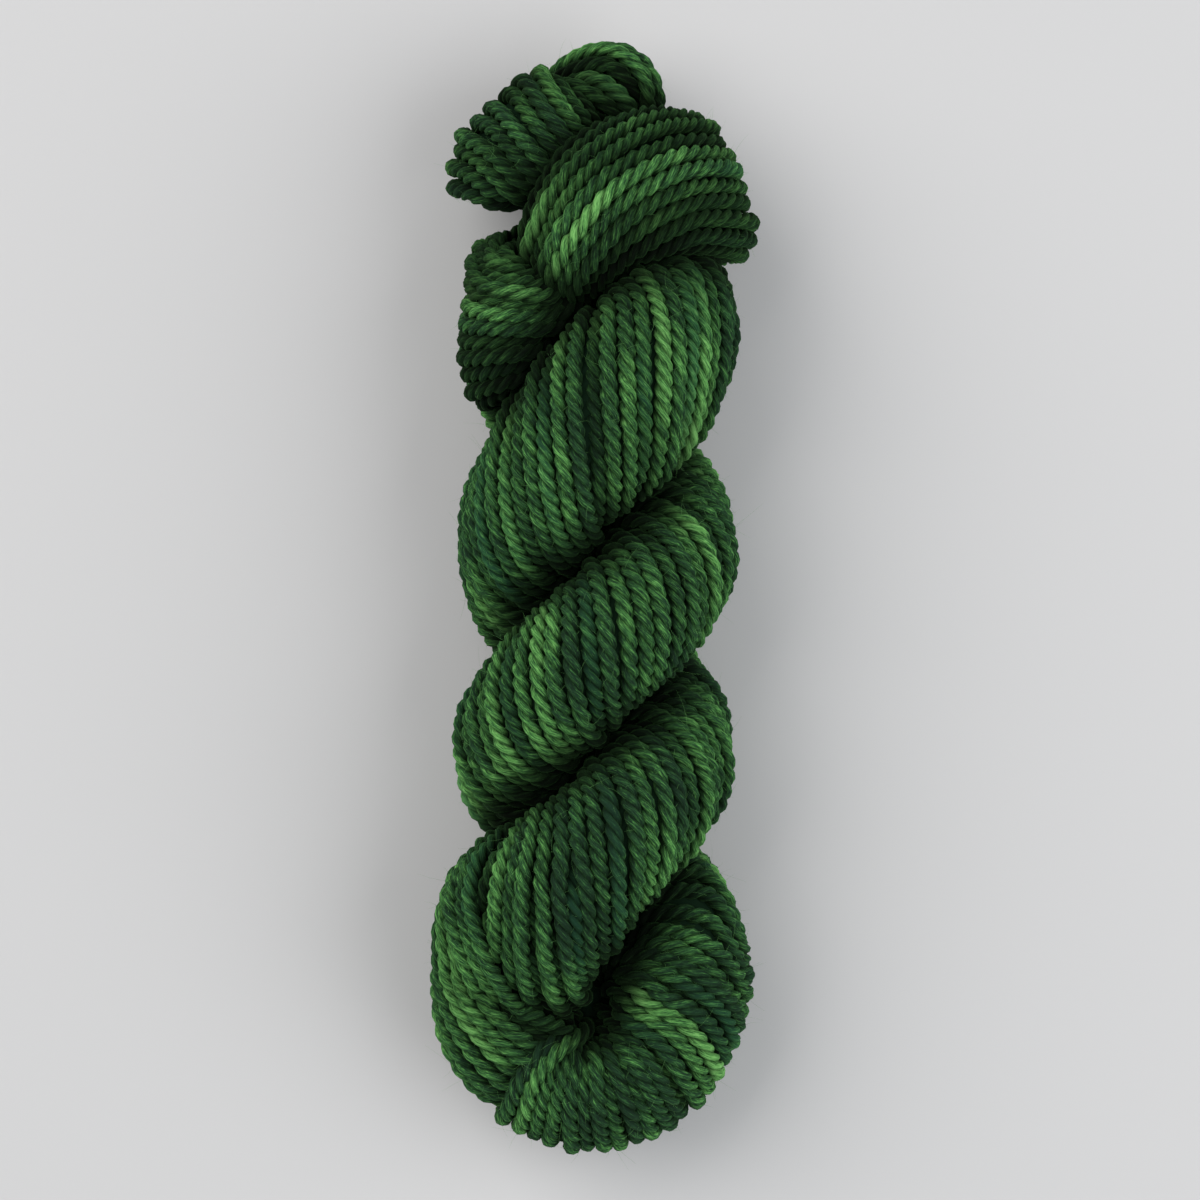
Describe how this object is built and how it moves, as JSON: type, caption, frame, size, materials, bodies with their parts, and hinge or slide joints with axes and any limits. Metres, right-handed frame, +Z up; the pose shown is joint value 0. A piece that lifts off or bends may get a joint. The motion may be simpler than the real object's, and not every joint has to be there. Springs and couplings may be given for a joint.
{
  "type": "skein of yarn",
  "caption": "Twisted hank of bulky plied wool yarn, folded on itself and tucked through its own end, lying flat.",
  "frame": {"origin": "centre of the bounding box, on the surface that the skein lies on", "axes": "+Y along the skein from the folded end to the tucked end, +Z up from the surface, +X to the right seen from above"},
  "size_m": [0.0718, 0.2464, 0.0525],
  "materials": {
    "dyed_wool": "matte, slightly fuzzy plied wool, hand dyed in shades of green"
  },
  "bodies": {
    "root": {"skein": "dyed_wool"}
  },
  "joints": []
}
